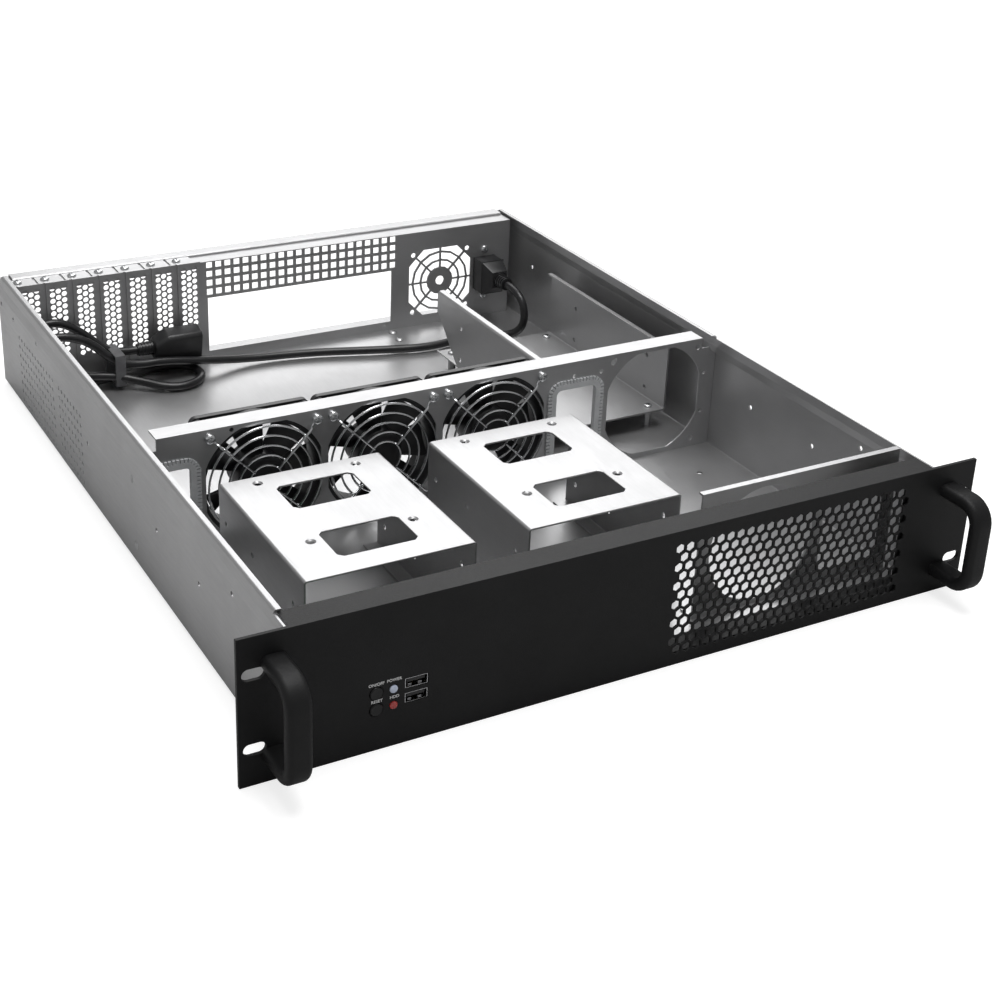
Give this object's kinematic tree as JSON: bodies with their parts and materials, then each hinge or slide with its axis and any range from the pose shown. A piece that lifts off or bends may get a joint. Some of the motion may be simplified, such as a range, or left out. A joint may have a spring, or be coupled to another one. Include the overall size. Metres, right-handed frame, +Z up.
{
  "type": "rackmount server case",
  "caption": "Low rack case without its lid: black front plate with handles and honeycomb vent, zinc steel tray, fan wall, drive cages, drive tray and rear slots.",
  "frame": {"origin": "under the middle of the case's length, handles included, on the surface it stands on", "axes": "+X right seen from the front, +Y from the front plate to the rear, +Z up"},
  "size_m": [0.4826, 0.5842, 0.0881],
  "materials": {
    "zinc_steel": "zinc-plated sheet, satin, lightly brushed",
    "black_coat": "black powder coat, fine texture, satin",
    "bright_steel": "bright plated wire and screws",
    "black_plastic": "moulded black plastic, satin",
    "grey_edging": "pale grey flexible edging",
    "cord_rubber": "black cord sheath, satin",
    "clear_lens": "clear lamp lens",
    "red_lens": "red lamp lens",
    "port_shell": "plated socket shell",
    "board_resin": "circuit board laminate",
    "contact_brass": "plated contacts"
  },
  "bodies": {
    "case": {"chassis_pan": "zinc_steel", "mid_wall": "zinc_steel", "drive_cage_left": "zinc_steel", "drive_cage_right": "zinc_steel", "drive_tray": "zinc_steel", "tray_pillars": "zinc_steel", "rear_wall": "zinc_steel", "rear_rail": "zinc_steel", "supply_bracket": "zinc_steel", "slot_cover_1": "zinc_steel", "slot_cover_2": "zinc_steel", "slot_cover_3": "zinc_steel", "slot_cover_4": "zinc_steel", "slot_cover_5": "zinc_steel", "slot_cover_6": "zinc_steel", "slot_cover_7": "zinc_steel", "front_panel": "black_coat", "front_bulkhead": "black_coat", "handle_left": "black_coat", "handle_right": "black_coat", "handle_screws": "bright_steel", "fan_screws": "bright_steel", "tray_screws": "bright_steel", "slot_screws": "bright_steel", "inlet_screws": "bright_steel", "fan_guard_1": "bright_steel", "fan_guard_2": "bright_steel", "fan_guard_3": "bright_steel", "switch_bodies": "black_plastic", "board_spacers": "black_plastic", "power_inlet": "black_plastic", "cord_socket": "black_plastic", "fan_frame_1": "black_plastic", "fan_frame_2": "black_plastic", "fan_frame_3": "black_plastic", "cable_trim_left": "grey_edging", "cable_trim_right": "grey_edging", "inlet_relief": "cord_rubber", "extension_cord": "cord_rubber", "cord_hank": "cord_rubber", "cord_tie": "cord_rubber", "socket_lead": "cord_rubber", "socket_relief": "cord_rubber", "power_lamp": "clear_lens", "drive_lamp": "red_lens", "port_upper": "port_shell", "port_lower": "port_shell", "control_board": "board_resin", "inlet_pins": "contact_brass"},
    "rotor_1": {"fan_rotor_1": "black_plastic"},
    "rotor_2": {"fan_rotor_2": "black_plastic"},
    "rotor_3": {"fan_rotor_3": "black_plastic"},
    "power_button": {"power_button": "black_plastic"},
    "reset_button": {"reset_button": "black_plastic"}
  },
  "joints": [
    {"name": "fan_spin_1", "type": "hinge", "parent": "case", "child": "rotor_1", "pos_m": [-0.1317, -0.0107, 0.0452], "axis": [0, 1, 0], "continuous": true},
    {"name": "fan_spin_2", "type": "hinge", "parent": "case", "child": "rotor_2", "pos_m": [-0.0492, -0.0107, 0.0452], "axis": [0, 1, 0], "continuous": true},
    {"name": "fan_spin_3", "type": "hinge", "parent": "case", "child": "rotor_3", "pos_m": [0.0333, -0.0107, 0.0452], "axis": [0, 1, 0], "continuous": true},
    {"name": "power_button_press", "type": "slide", "parent": "case", "child": "power_button", "axis": [0, 1, 0], "range_m": [0, 0.001], "stiffness_N_per_m": 400, "springref_m": -0.0005},
    {"name": "reset_button_press", "type": "slide", "parent": "case", "child": "reset_button", "axis": [0, 1, 0], "range_m": [0, 0.001], "stiffness_N_per_m": 400, "springref_m": -0.0005}
  ]
}
